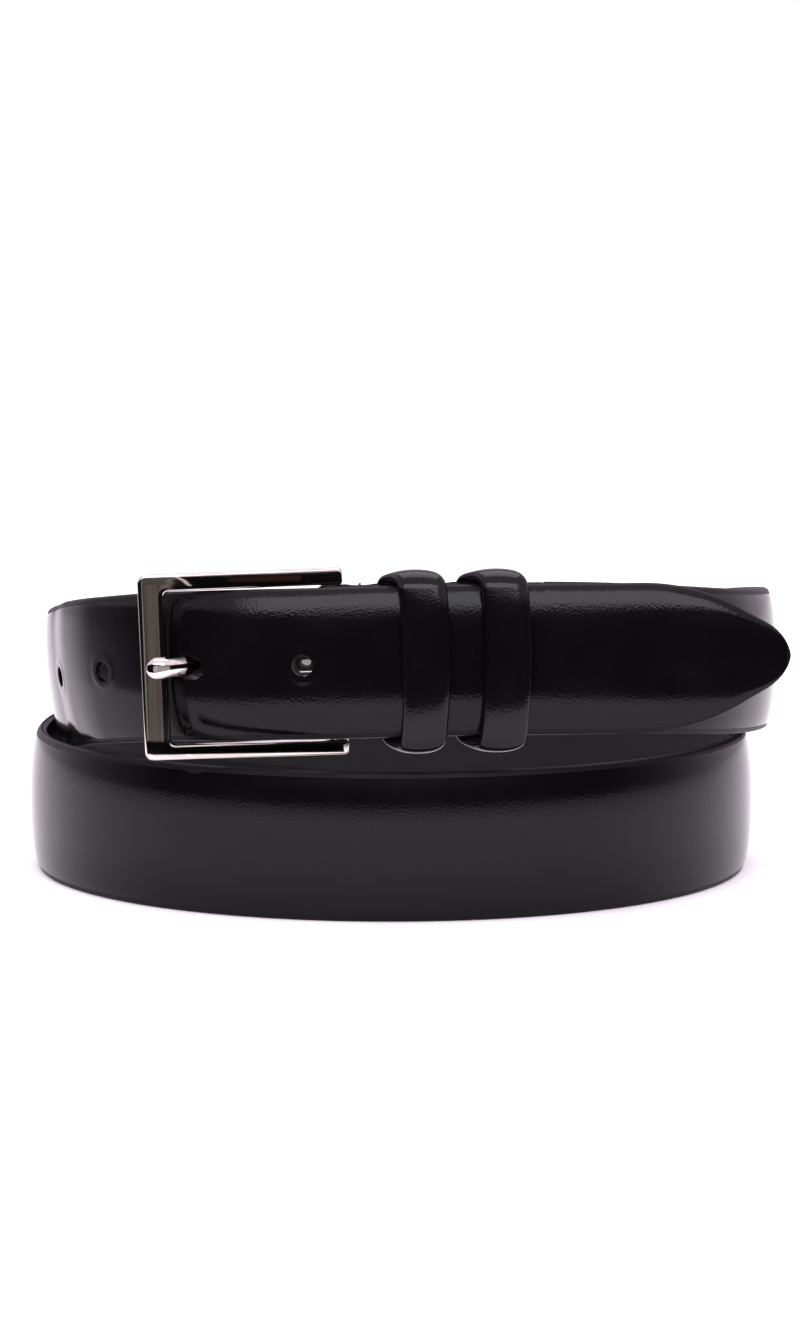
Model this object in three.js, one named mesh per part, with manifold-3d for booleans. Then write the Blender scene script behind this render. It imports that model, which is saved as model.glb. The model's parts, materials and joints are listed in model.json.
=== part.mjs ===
// A leather dress belt, buckled on its second hole and wound into two stacked turns that stand on the strap's edge.
// Millimetres, +Z up, the buckle towards -Y. The origin is at the middle of the bounding box's underside.
import * as THREE from "three";
import { mergeVertices } from "three/addons/utils/BufferGeometryUtils.js";
import Module from "manifold-3d";

// Strap
const strapWidth = 32;
const strapThick = 3.8; // through the padded middle
const faceThick = 1.1;
const liningThick = 0.9;
const glueGap = 0.15; // between one layer of the strap and the next
const coreShare = 0.82; // of the strap's width that is padded
const tipTaper = 32; // length of the lancet point
const tipNose = 10; // the point is rounder over this much of its end
const firstHole = 104.2; // from the tip to the middle of the first hole
const holePitch = 25.4;
const holeCount = 5;
const holeRadius = 2.3;
const usedHole = 1; // the prong is in this one, counted from 0
const holeSlant = 0.55; // the used hole leans this much towards the outer bar for each mm of thickness

// Coil: the base oval is the outer face of the lower turn
const ovalAcross = 83.3; // half its width
const ovalDeep = 78; // half its depth
const tipRun = 74; // straight run of the tip past the point where it leaves the oval
const tipLeaves = -8; // degrees

// Buckle
const barRadius = 1.5;
const barFit = 0.05; // radial running clearance of the prong's eye on the bar
const barToHole = 30.8; // from the pivot bar to the prong's hole, along the strap
const holeToOuterBar = 7.2;
const barToOuterBar = barToHole + holeToOuterBar; // from the pivot bar to the middle of the outer bar
const barToStrap = 2.1; // the outer bar lies this far in front of the strap that passes under it
const windowClear = 0.6; // between each edge of the strap and the arm beside it
const windowHeight = strapWidth + 2 * windowClear;
const armHeight = 3.2;
const armTaper = 0.2; // the window is this much lower on each side at the outer bar
const frameThick = 3.6;
const outerBarWidth = 5.4;
const armPastBar = 2.6; // how far each arm runs past the pivot bar
const prongWidth = 4.2;
const prongThick = 1.9;
const prongPlay = 1.3; // between the prong and the lining it lies behind

// Fold and keepers
const layGap = 1.2; // between the tip's lining and the folded end, room for the stitches
const slip = 0.15; // between pieces that lie against each other
const foldLength = 46; // from the pivot bar to the turned end's edge
const rowSpacing = 17.1;
const firstRow = 6.9; // from the pivot bar to the first row of stitching
const keeperWidth = 9.8;
const keeperThick = 2.4; // over the front
const keeperBackThick = 1.4; // pressed flat inside the fold
const keeperLean = 5.3; // how far the tip has dragged each loop's front along
const keeperClear = 0.9; // above and below the strap
const stapleRadius = 0.25;
const threadRadius = 0.26;
const stitchHoles = 8;

const bodySpacing = 8; // between the places where the strap's section is drawn

const halfWidth = strapWidth / 2;
const edgeThick = faceThick + glueGap + liningThick;

const wasm = await Module();
wasm.setup();
const group = new THREE.Group();

// ---------- mesh helpers ----------

function solidOf(geometry) {
  const bare = geometry.clone();
  bare.deleteAttribute("normal");
  bare.deleteAttribute("uv");
  const merged = mergeVertices(bare, 1e-4);
  return new wasm.Manifold(
    new wasm.Mesh({
      numProp: 3,
      vertProperties: merged.attributes.position.array,
      triVerts: new Uint32Array(merged.index.array),
    }),
  );
}

function geometryOf(solid) {
  const mesh = solid.getMesh();
  const points = new Float32Array(mesh.numVert * 3);
  for (let i = 0; i < mesh.numVert; i++) {
    points.set(mesh.vertProperties.subarray(i * mesh.numProp, i * mesh.numProp + 3), i * 3);
  }
  return new THREE.BufferGeometry()
    .setAttribute("position", new THREE.BufferAttribute(points, 3))
    .setIndex(new THREE.BufferAttribute(mesh.triVerts, 1));
}

function volumeOf(points, triangles) {
  const cross = new THREE.Vector3();
  return triangles.reduce(
    (sum, [a, b, c]) => sum + cross.crossVectors(points[a], points[b]).dot(points[c]) / 6,
    0,
  );
}

// A closed body through rings of points, with flat ends.
function loft(rings) {
  const n = rings[0].length;
  const points = rings.flat();
  const triangles = [];
  for (let i = 0; i < rings.length - 1; i++) {
    for (let j = 0; j < n; j++) {
      const a = i * n + j;
      const b = i * n + ((j + 1) % n);
      const c = (i + 1) * n + ((j + 1) % n);
      const d = (i + 1) * n + j;
      triangles.push([a, b, c], [a, c, d]);
    }
  }
  [0, rings.length - 1].forEach((k) => {
    const ring = rings[k];
    const across = new THREE.Vector3().subVectors(ring[Math.floor(n / 2)], ring[0]);
    const normal = new THREE.Vector3();
    ring.forEach((p, j) => normal.add(new THREE.Vector3().crossVectors(p, ring[(j + 1) % n])));
    normal.normalize();
    across.addScaledVector(normal, -across.dot(normal)).normalize();
    const up = new THREE.Vector3().crossVectors(normal, across);
    const flat = ring.map((p) => new THREE.Vector2(p.dot(across), p.dot(up)));
    THREE.ShapeUtils.triangulateShape(flat, []).forEach(([a, b, c]) => {
      triangles.push(k === 0 ? [k * n + c, k * n + b, k * n + a] : [k * n + a, k * n + b, k * n + c]);
    });
  });
  const inwards = volumeOf(points, triangles) < 0;
  const index = triangles.flatMap(([a, b, c]) => (inwards ? [a, c, b] : [a, b, c]));
  return new THREE.BufferGeometry().setFromPoints(points).setIndex(index);
}

function add(name, geometry, color, roughness, metalness) {
  const mesh = new THREE.Mesh(
    geometry,
    new THREE.MeshStandardMaterial({ color, roughness, metalness }),
  );
  mesh.name = name;
  group.add(mesh);
}

// ---------- the winding ----------

// A smooth value through [angle, value] knots that never overshoots them.
function through(knots) {
  const slope = knots.slice(1).map(([x, y], i) => (y - knots[i][1]) / (x - knots[i][0]));
  const tangent = knots.map((_, i) => {
    const before = slope[i - 1] ?? slope[i];
    const after = slope[i] ?? slope[i - 1];
    return before * after <= 0 ? 0 : (2 * before * after) / (before + after);
  });
  return (x) => {
    let i = knots.findIndex(([at]) => at > x) - 1;
    if (i === -2) i = knots.length - 2;
    i = Math.max(0, i);
    const [x0, y0] = knots[i];
    const [x1, y1] = knots[i + 1];
    const h = x1 - x0;
    const t = THREE.MathUtils.clamp((x - x0) / h, 0, 1);
    return (
      (1 + 2 * t) * (1 - t) ** 2 * y0 +
      t * (1 - t) ** 2 * h * tangent[i] +
      t * t * (3 - 2 * t) * y1 +
      t * t * (t - 1) * h * tangent[i + 1]
    );
  };
}

// Degrees round the coil from the front centre, clockwise from above, against how far the face stands out from the
// oval. The tip's turn runs inside the next one at the left and the back, and the last quarter passes outside it.
const standOff = through([
  [-8, 0], [15, 0], [32, 1.4], [50, 0.6], [60, -1.3], [69, -3.4], [90, -4.6], [180, -4.8],
  [270, 0], [450, 0], [540, 0], [600, 3.4], [630, 5], [654, 5],
]);
// The same against the height of the strap's lower edge.
const climb = [
  [-60, 39.7], [-30, 39.3], [-8, 39.4], [15, 38.4], [32, 37], [50, 34], [60, 32], [69, 29.9],
  [90, 25.6], [130, 16.4], [170, 8.8], [210, 2.8], [250, 0.2], [266, 0], [446, 0], [462, 0.6], [500, 4.4],
  [530, 8.8], [570, 18.3], [615, 29.6], [654, 34.4],
];
const lowerEdge = through(climb.map(([angle, height]) => [angle, height * strapWidth / 32]));
// The same against the lean of the strap's upper edge outwards, in degrees.
const lean = through([[-60, 0], [20, 0], [64, 7], [90, 6], [160, 0], [654, 0]]);

function seat(degrees) {
  const a = THREE.MathUtils.degToRad(degrees);
  const out = standOff(degrees);
  return new THREE.Vector3(
    -Math.sin(a) * (ovalAcross + out),
    -Math.cos(a) * (ovalDeep + out),
    lowerEdge(degrees) + halfWidth,
  );
}

// Turns a row of places into a track with a length, a direction along it, one outwards and one up the strap.
function track(places, leans) {
  let length = 0;
  return places.map((p, i) => {
    if (i) length += p.distanceTo(places[i - 1]);
    const along = new THREE.Vector3()
      .subVectors(places[Math.min(i + 1, places.length - 1)], places[Math.max(i - 1, 0)])
      .normalize();
    const up = new THREE.Vector3(0, 0, 1).addScaledVector(along, -along.z).normalize();
    const out = new THREE.Vector3().crossVectors(along, up).negate();
    const angle = THREE.MathUtils.degToRad(leans[i]);
    up.applyAxisAngle(along, -angle);
    out.applyAxisAngle(along, -angle);
    return { p, along, out, up, s: length };
  });
}

function at(line, s) {
  let i = line.findIndex((q) => q.s > s);
  if (i < 0) i = line.length - 1;
  i = Math.max(1, i);
  const a = line[i - 1];
  const b = line[i];
  const t = (s - a.s) / (b.s - a.s);
  const mix = (key) => new THREE.Vector3().lerpVectors(a[key], b[key], t);
  const [along, out, up] = ["along", "out", "up"].map((key) => mix(key).normalize());
  return { p: mix("p"), along, out, up, s };
}

const leave = seat(tipLeaves);
const leaveWay = new THREE.Vector3().subVectors(seat(tipLeaves), seat(tipLeaves + 1)).normalize();
const places = [];
const leans = [];
for (let d = tipRun; d > 0.5; d -= 1) {
  const p = leave.clone().addScaledVector(leaveWay, d);
  p.z = lowerEdge(tipLeaves - d * 0.6) + halfWidth;
  places.push(p);
  leans.push(0);
}
for (let degrees = tipLeaves; degrees <= 654; degrees += 1) {
  places.push(seat(degrees));
  leans.push(lean(degrees));
}
const winding = track(places, leans);
const windingLength = winding[winding.length - 1].s;

// A place by its length along the tip's strap, its depth behind the face there and its height above the middle.
function warp(s, depth, height) {
  const q = at(winding, s);
  return q.p.clone().addScaledVector(q.out, -depth).addScaledVector(q.up, height);
}

function foldPlace(s, depth) {
  return { p: warp(s, depth, 0), up: at(winding, s).up, flat: 1 };
}

// ---------- the strap's path, from the tip to the turned end ----------

const holeAt = firstHole + usedHole * holePitch;
const pivotAt = holeAt - barToHole; // where the bar lies, along the tip's strap
const foldFront = strapThick + layGap; // depth of the folded end's face
const foldRadius = barRadius + slip + faceThick;
const pocket = 1.06 * keeperBackThick + 2 * stapleRadius + 4 * slip; // room for a keeper's back and its staple

// Depth of the turned end's outer surface, at a distance from the bar: close at each row, open over each keeper.
function turnedDepth(q) {
  const nearest = Math.abs(((((q - firstRow) % rowSpacing) + rowSpacing) % rowSpacing) - rowSpacing / 2);
  const overKeeper = 1 - THREE.MathUtils.smoothstep(nearest, keeperWidth / 2 + 0.3, rowSpacing / 2 - 0.7);
  const pastRows = q > firstRow + 2 * rowSpacing ? 0 : 1;
  const closed = slip + (pocket - slip) * overKeeper * pastRows;
  const open = 2 * (barRadius + slip);
  const byBar = 1 - THREE.MathUtils.smoothstep(q, 0.5, firstRow - 0.8);
  return foldFront + 2 * faceThick + closed + (open - closed) * byBar;
}

const stations = []; // { p, along, out, up, s, flat } from the tip to the turned end
[0.3, 1, 2.1, 3.6, 5.6, 8.2, 11.5, 15.5, 20, 25, 30].forEach((s) => stations.push({ ...at(winding, s), flat: 0 }));
const bodySteps = Math.round((windingLength - 36) / bodySpacing);
for (let i = 0; i <= bodySteps; i++) {
  const s = 36 + ((windingLength - 36) * i) / bodySteps;
  stations.push({ ...at(winding, s), flat: 0 });
}
const joinAt = pivotAt - foldLength + 3; // where the last quarter comes in behind the tip's strap
const from = winding[winding.length - 1];
const to = at(winding, joinAt);
const end = warp(joinAt, foldFront, 0);
const handle = 0.38 * from.p.distanceTo(end);
const approach = new THREE.CubicBezierCurve3(
  from.p,
  from.p.clone().addScaledVector(from.along, handle),
  end.clone().addScaledVector(to.along, -handle),
  end,
);
const foldPlaces = [];
const approachSteps = 12;
for (let i = 1; i < approachSteps; i++) {
  foldPlaces.push({ p: approach.getPoint(i / approachSteps), flat: Math.max(0, i / approachSteps - 0.4) / 0.6 });
}
for (let i = 0; i <= 9; i++) {
  foldPlaces.push(foldPlace(joinAt + ((pivotAt - joinAt) * i) / 9, foldFront));
}
for (let i = 1; i < 9; i++) {
  const a = (Math.PI * i) / 9;
  const p = warp(pivotAt, foldFront + foldRadius * (1 - Math.cos(a)), 0);
  p.addScaledVector(at(winding, pivotAt).along, foldRadius * Math.sin(a));
  foldPlaces.push({ ...foldPlace(pivotAt, foldFront), p });
}
const turnedSteps = 26;
for (let i = 0; i <= turnedSteps; i++) {
  const q = (foldLength * i) / turnedSteps;
  foldPlaces.push(foldPlace(pivotAt - q, turnedDepth(q)));
}
const laminateStations = stations.length + approachSteps - 2; // the padding and the lining stop short of the fold
const allPlaces = [...stations.map((q) => q.p), ...foldPlaces.map((q) => q.p)];
const wound = stations.length;
track(allPlaces, allPlaces.map(() => 0)).forEach((q, i) => {
  if (i < wound) return;
  const { up, flat } = foldPlaces[i - wound];
  if (up) {
    q.up.copy(up).addScaledVector(q.along, -up.dot(q.along)).normalize();
    q.out.crossVectors(q.along, q.up).negate();
  }
  stations.push({ ...q, flat });
});

// ---------- the strap's layers ----------

const acrossShares = [-1, -0.9, -0.64, -0.3, 0, 0.3, 0.64, 0.9, 1];

function halfWidthAt(s) {
  const t = Math.min(1, s / tipTaper);
  const fullness = 0.56 + 0.19 * THREE.MathUtils.smoothstep(s, 0, tipNose);
  return halfWidth * Math.max(0.04, (1 - (1 - t) ** 2) ** fullness);
}

// How far the face has sunk below the crown of the strap.
function sink(q, share) {
  const rise = strapThick - edgeThick;
  const tip = 1 - THREE.MathUtils.smoothstep(q.s, -6, 26);
  const dome = Math.abs(share) ** 2.2 * (1 - q.flat);
  return rise * (tip + (1 - tip) * dome);
}

function ring(q, profile) {
  return profile.map(([across, depth]) =>
    q.p.clone().addScaledVector(q.up, across).addScaledVector(q.out, -depth),
  );
}

function faceRing(q) {
  const w = halfWidthAt(q.s);
  const outer = acrossShares.map((k) => [k * w, sink(q, k)]);
  const inner = acrossShares.map((k) => [k * w, sink(q, k) + faceThick]).reverse();
  return ring(q, [...outer, ...inner]);
}

function coreRing(q) {
  const w = halfWidthAt(q.s);
  const shares = [-1, -0.7, -0.36, 0, 0.36, 0.7, 1].map((k) => k * coreShare);
  const outer = shares.map((k) => [k * w, sink(q, k) + faceThick + glueGap]);
  const back = strapThick - liningThick - glueGap;
  return ring(q, [...outer, [coreShare * w, back], [0, back], [-coreShare * w, back]]);
}

function liningRing(q) {
  const w = halfWidthAt(q.s);
  const top = strapThick - liningThick;
  return ring(q, [[-w, top], [0, top], [w, top], [w, strapThick], [0, strapThick], [-w, strapThick]]);
}

function punch(s, radius, slant = 0) {
  const q = at(winding, s);
  const way = q.out.clone().addScaledVector(q.along, slant).normalize();
  const cutter = new THREE.CylinderGeometry(radius, radius, strapThick + layGap + 8 * slant, 20);
  cutter.applyQuaternion(new THREE.Quaternion().setFromUnitVectors(new THREE.Vector3(0, 1, 0), way));
  const middle = q.p.clone().addScaledVector(q.out, -strapThick / 2);
  cutter.translate(middle.x, middle.y, middle.z);
  return solidOf(cutter);
}

// The used hole is pulled long, a little wide and slanting by the prong.
const holes = [];
for (let i = 0; i < holeCount; i++) {
  const s = firstHole + i * holePitch;
  const used = i === usedHole;
  const pulled = used ? [-1.9, -1.2, -0.4, 0.3, 1] : [0];
  const radius = used ? holeRadius * 1.1 : holeRadius;
  pulled.forEach((by) => holes.push(punch(s + by, radius, used ? holeSlant : 0)));
}

// The stitch holes across the fold, and the slot that lets the prong's eye reach the bar.
function stitchHeight(i) {
  return -halfWidth + 2.2 + ((strapWidth - 4.4) * i) / (stitchHoles - 1);
}
const rowsAt = [0, 1, 2].map((i) => pivotAt - firstRow - i * rowSpacing);

function cylinderBetween(a, b, radius, sides) {
  const g = new THREE.CylinderGeometry(radius, radius, a.distanceTo(b), sides);
  const way = new THREE.Vector3().subVectors(b, a).normalize();
  g.applyQuaternion(new THREE.Quaternion().setFromUnitVectors(new THREE.Vector3(0, 1, 0), way));
  const middle = new THREE.Vector3().addVectors(a, b).multiplyScalar(0.5);
  return g.translate(middle.x, middle.y, middle.z);
}

const rowBack = foldFront + 2 * faceThick + slip; // depth of the turned end's outer surface at a row
rowsAt.forEach((s) => {
  for (let i = 0; i < stitchHoles; i++) {
    const h = stitchHeight(i);
    const from = warp(s, foldFront - layGap / 2, h);
    const to = warp(s, rowBack + 1, h);
    holes.push(solidOf(cylinderBetween(from, to, threadRadius + 0.25, 5)));
  }
});

const slotHalf = prongWidth / 2 + 0.9;
function slab(sFrom, sTo, depthFrom, depthTo, half) {
  const rings = [sFrom, (sFrom + sTo) / 2, sTo].map((s) => [
    warp(s, depthFrom, -half),
    warp(s, depthFrom, half),
    warp(s, depthTo, half),
    warp(s, depthTo, -half),
  ]);
  return solidOf(loft(rings));
}
const slotBack = foldFront + 2 * foldRadius + 1;
holes.push(slab(pivotAt - 4.6, pivotAt + foldRadius + 1, foldFront - layGap / 2, slotBack, slotHalf));

function layer(name, makeRing, list, color, roughness) {
  let solid = solidOf(loft(list.map(makeRing)));
  solid = wasm.Manifold.difference([solid, ...holes]);
  add(name, geometryOf(solid), color, roughness, 0);
}

layer("strap_face", faceRing, stations, "#141115", 0.28);
layer("strap_core", coreRing, stations.slice(6, laminateStations), "#6b5a48", 0.9);
layer("strap_lining", liningRing, stations.slice(0, laminateStations), "#19171a", 0.6);

// ---------- buckle ----------

const pivot = warp(pivotAt, foldFront + foldRadius, 0);
const pivotFrame = at(winding, pivotAt);
const outerBar = warp(pivotAt + barToOuterBar, -(frameThick / 2 + barToStrap), 0);
const barWay = pivotFrame.up.clone();
const alongFrame = new THREE.Vector3().subVectors(outerBar, pivot);
alongFrame.addScaledVector(barWay, -alongFrame.dot(barWay)).normalize();
const outOfFrame = new THREE.Vector3().crossVectors(alongFrame, barWay).negate();
// The frame's own axes: x from the pivot bar to the outer bar, y up the bar, z out of its front.
const frameSpace = new THREE.Matrix4()
  .makeBasis(alongFrame, barWay, new THREE.Vector3().crossVectors(alongFrame, barWay))
  .setPosition(pivot);
const frontSign = Math.sign(new THREE.Vector3().crossVectors(alongFrame, barWay).dot(outOfFrame));

function roundedPath(corners) {
  const shape = new THREE.Shape();
  corners.forEach(([x, y, r], i) => {
    const [px, py] = corners[(i + corners.length - 1) % corners.length];
    const [nx, ny] = corners[(i + 1) % corners.length];
    const back = new THREE.Vector2(px - x, py - y).normalize().multiplyScalar(r);
    const on = new THREE.Vector2(nx - x, ny - y).normalize().multiplyScalar(r);
    if (i === 0) shape.moveTo(x + back.x, y + back.y);
    else shape.lineTo(x + back.x, y + back.y);
    shape.quadraticCurveTo(x, y, x + on.x, y + on.y);
  });
  shape.closePath();
  return shape;
}

const inner = windowHeight / 2;
const outer = inner + armHeight;
const frameEnd = barToOuterBar + outerBarWidth / 2;
const windowEnd = barToOuterBar - outerBarWidth / 2;
const bevel = 0.7;
const frameShape = roundedPath([
  [-armPastBar + bevel, inner + bevel, 0.5],
  [-armPastBar + bevel, outer - bevel, 0.7],
  [frameEnd - bevel, outer - bevel - armTaper / 2, 2.2],
  [frameEnd - bevel, -outer + bevel + armTaper / 2, 2.2],
  [-armPastBar + bevel, -outer + bevel, 0.7],
  [-armPastBar + bevel, -inner - bevel, 0.5],
  [windowEnd + bevel, -inner - bevel + armTaper, 1.6],
  [windowEnd + bevel, inner + bevel - armTaper, 1.6],
]);
const frameBody = new THREE.ExtrudeGeometry(frameShape, {
  depth: frameThick - 2 * bevel,
  bevelEnabled: true,
  bevelSize: bevel,
  bevelThickness: bevel,
  bevelSegments: 3,
  curveSegments: 5,
});
frameBody.translate(0, 0, -frameThick / 2 + bevel);
const barSeat = 2.2; // depth of the blind hole in each arm
const seatRadius = barRadius + barFit;
const seatCutter = new THREE.CylinderGeometry(seatRadius, seatRadius, windowHeight + 2 * barSeat, 32);
const frameSolid = wasm.Manifold.difference(solidOf(frameBody), solidOf(seatCutter));
add("buckle_frame", geometryOf(frameSolid).applyMatrix4(frameSpace), "#8d8a8c", 0.12, 1);

const bar = new THREE.CylinderGeometry(barRadius, barRadius, windowHeight + 2 * barSeat - 0.2, 32);
add("buckle_bar", bar.applyMatrix4(frameSpace), "#8d8a8c", 0.2, 1);

// The prong's middle line, as distance from the bar and height out of the frame's plane.
function inFrame(p) {
  return p.clone().applyMatrix4(frameSpace.clone().invert());
}
const under = [6, 14, 20, barToHole - 5.4].map((q) =>
  inFrame(warp(pivotAt + q, strapThick + prongPlay + prongThick / 2, 0)),
);
const inHole = inFrame(warp(holeAt, strapThick / 2, 0));
const onBarHeight = frameThick / 2 + 0.15 + prongThick / 2;
const prongTip = barToOuterBar + 1.4;
const middleLine = [
  new THREE.Vector2(2.4, 0.1 * frontSign),
  ...under.map((p) => new THREE.Vector2(p.x, p.z)),
  new THREE.Vector2(inHole.x, inHole.z),
  new THREE.Vector2(windowEnd + 0.4, onBarHeight * frontSign),
  new THREE.Vector2(prongTip, (onBarHeight + 0.1) * frontSign),
];
const prongCurve = new THREE.SplineCurve(middleLine);
const prongRings = [];
const prongSteps = 26;
for (let i = 0; i <= prongSteps; i++) {
  const u = i / prongSteps;
  const c = prongCurve.getPointAt(u);
  const t = prongCurve.getTangentAt(u);
  const left = prongCurve.getLength() * (1 - u);
  const taper = left < 3 ? Math.sqrt(1 - (1 - Math.max(left, 0.05) / 3) ** 2) : 1;
  const w = (prongWidth / 2) * (0.25 + 0.75 * taper);
  const h = (prongThick / 2) * (0.45 + 0.55 * taper);
  const section = [
    [-w, -h * 0.4], [-w * 0.72, -h], [w * 0.72, -h], [w, -h * 0.4],
    [w, h * 0.4], [w * 0.72, h], [-w * 0.72, h], [-w, h * 0.4],
  ];
  prongRings.push(section.map(([across, up]) => new THREE.Vector3(c.x - t.y * up, across, c.y + t.x * up)));
}
const eyeInner = barRadius + barFit;
const eyeShape = new THREE.Shape().absarc(0, 0, eyeInner + 1.15, 0, 2 * Math.PI);
const eye = new THREE.ExtrudeGeometry(eyeShape, { depth: prongWidth, bevelEnabled: false, curveSegments: 16 });
eye.translate(0, 0, -prongWidth / 2).rotateX(-Math.PI / 2);
const eyeHole = new THREE.CylinderGeometry(eyeInner, eyeInner, prongWidth + 2, 32);
const prongSolid = wasm.Manifold.difference(
  wasm.Manifold.union(solidOf(loft(prongRings)), solidOf(eye)),
  solidOf(eyeHole),
);
add("prong", geometryOf(prongSolid).applyMatrix4(frameSpace), "#8d8a8c", 0.14, 1);

// ---------- keepers, staples and stitching ----------

const loopDepth = foldFront + faceThick + slip; // inner surface of a loop's back
const loopFront = -0.55; // inner surface of its front, ahead of the strap's crown
const loopHalf = halfWidth + keeperClear;
const loopCorner = 1.2;
const loopBow = 0.9; // how much the front's inner surface stands out at its middle

// A loop's inner surface from one of its meeting ends to the other, as [height, depth] behind the strap's face.
const upperHalf = [];
const loopTop = loopFront + loopBow;
for (let i = 0; i <= 5; i++) upperHalf.push([0.15 + ((loopHalf - loopCorner - 0.15) * i) / 5, loopDepth]);
for (let i = 1; i <= 3; i++) {
  const a = (Math.PI * i) / 6;
  upperHalf.push([loopHalf - loopCorner * (1 - Math.sin(a)), loopDepth - loopCorner * (1 - Math.cos(a))]);
}
for (let i = 1; i <= 2; i++) {
  upperHalf.push([loopHalf, loopDepth - loopCorner + ((loopTop + 2 * loopCorner - loopDepth) * i) / 2]);
}
for (let i = 1; i <= 3; i++) {
  const a = (Math.PI * i) / 6;
  upperHalf.push([loopHalf - loopCorner * (1 - Math.cos(a)), loopTop + loopCorner * (1 - Math.sin(a))]);
}
for (let i = 1; i <= 7; i++) {
  const share = 1 - i / 7;
  upperHalf.push([share * (loopHalf - loopCorner), loopFront + loopBow * share ** 2.4]);
}
const loopLine = [...upperHalf, ...upperHalf.slice(0, -1).reverse().map(([h, d]) => [-h, d])];

function loopRing(middle, k, profile) {
  const [height, depth] = loopLine[k];
  const [h0, d0] = loopLine[Math.max(k - 1, 0)];
  const [h1, d1] = loopLine[Math.min(k + 1, loopLine.length - 1)];
  const outwards = new THREE.Vector2(d0 - d1, h1 - h0).normalize();
  const forward = (loopDepth - depth) / (loopDepth - loopFront);
  const thick = THREE.MathUtils.lerp(keeperBackThick, keeperThick, THREE.MathUtils.smoothstep(forward, 0, 0.6));
  return profile.map(([share, rise]) => {
    const s = middle - keeperLean * forward + share * keeperWidth;
    return warp(s, depth + outwards.y * rise * thick, height + outwards.x * rise * thick);
  });
}

// The cover is turned over both edges of the filler; the loop is open where its two ends meet at the back.
const coverProfile = [
  [-0.5, 0], [-0.5, 0.55], [-0.43, 0.85], [-0.28, 1], [0, 1.06], [0.28, 1], [0.43, 0.85], [0.5, 0.55],
  [0.5, 0], [0.36, 0], [0.36, 0.52], [-0.36, 0.52], [-0.36, 0],
];
const fillerProfile = [[-0.34, 0.04], [-0.34, 0.45], [0.34, 0.45], [0.34, 0.04]];

[0, 1].forEach((i) => {
  const middle = pivotAt - firstRow - (i + 0.5) * rowSpacing;
  const legs = [-1, 1].map((side) => {
    const a = warp(middle, loopDepth - 1, side * 2.4);
    const b = warp(middle, loopDepth + keeperBackThick + 1, side * 2.4);
    return solidOf(cylinderBetween(a, b, stapleRadius + 0.15, 8));
  });
  const open = (profile) => {
    const rings = loopLine.map((_, k) => loopRing(middle, k, profile));
    return wasm.Manifold.difference([solidOf(loft(rings)), ...legs]);
  };
  add(`keeper_${i + 1}_cover`, geometryOf(open(coverProfile)), "#141115", 0.3, 0);
  add(`keeper_${i + 1}_filler`, geometryOf(open(fillerProfile)), "#6b5a48", 0.9, 0);

  const crown = loopDepth + keeperBackThick * 1.06 + slip + stapleRadius;
  const tips = loopDepth - 0.02;
  const corners = [
    warp(middle, tips, -2.4),
    warp(middle, crown, -2.4),
    warp(middle, crown, 2.4),
    warp(middle, tips, 2.4),
  ];
  const wirePath = new THREE.CatmullRomCurve3(
    [
      corners[0],
      corners[0].clone().lerp(corners[1], 0.6),
      corners[1].clone().lerp(corners[2], 0.06),
      corners[1].clone().lerp(corners[2], 0.94),
      corners[3].clone().lerp(corners[2], 0.6),
      corners[3],
    ],
    false,
    "centripetal",
  );
  add(`keeper_${i + 1}_staple`, tube(wirePath, stapleRadius, 24), "#a9a7a2", 0.3, 1);
});

function tube(path, radius, steps) {
  const round = new THREE.Shape();
  for (let i = 0; i < 5; i++) {
    const a = (2 * Math.PI * i) / 5;
    if (i === 0) round.moveTo(radius * Math.cos(a), radius * Math.sin(a));
    else round.lineTo(radius * Math.cos(a), radius * Math.sin(a));
  }
  round.closePath();
  return new THREE.ExtrudeGeometry(round, { extrudePath: path, steps, bevelEnabled: false });
}

// One thread a row: over the face for a stitch, through to the turned end for the next, and round both edges.
rowsAt.forEach((s, row) => {
  const front = foldFront - slip - threadRadius;
  const back = rowBack + slip + threadRadius;
  const edge = halfWidth + slip + threadRadius;
  const points = [warp(s, (front + back) / 2, -edge), warp(s, front, -edge + 0.3)];
  for (let i = 0; i < stitchHoles; i++) {
    const h = stitchHeight(i);
    const inSign = i % 2 ? -1 : 1;
    points.push(warp(s, inSign > 0 ? front : back, h - 0.25));
    points.push(warp(s, (front + back) / 2, h));
    points.push(warp(s, inSign > 0 ? back : front, h + 0.25));
  }
  points.push(warp(s, front, edge - 0.3), warp(s, (front + back) / 2, edge));
  const path = new THREE.CatmullRomCurve3(points, false, "catmullrom", 0.3);
  add(`stitch_row_${row + 1}`, tube(path, threadRadius, 64), "#1b181c", 0.6, 0);
});

// ---------- the origin ----------

const box = new THREE.Box3().setFromObject(group);
const middle = box.getCenter(new THREE.Vector3());
group.children.forEach((mesh) => mesh.geometry.translate(-middle.x, -middle.y, -box.min.z));

export default group;
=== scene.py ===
import json
import math

import bmesh
import bpy
import numpy as np
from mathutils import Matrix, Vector
from mathutils.geometry import tessellate_polygon


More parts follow.
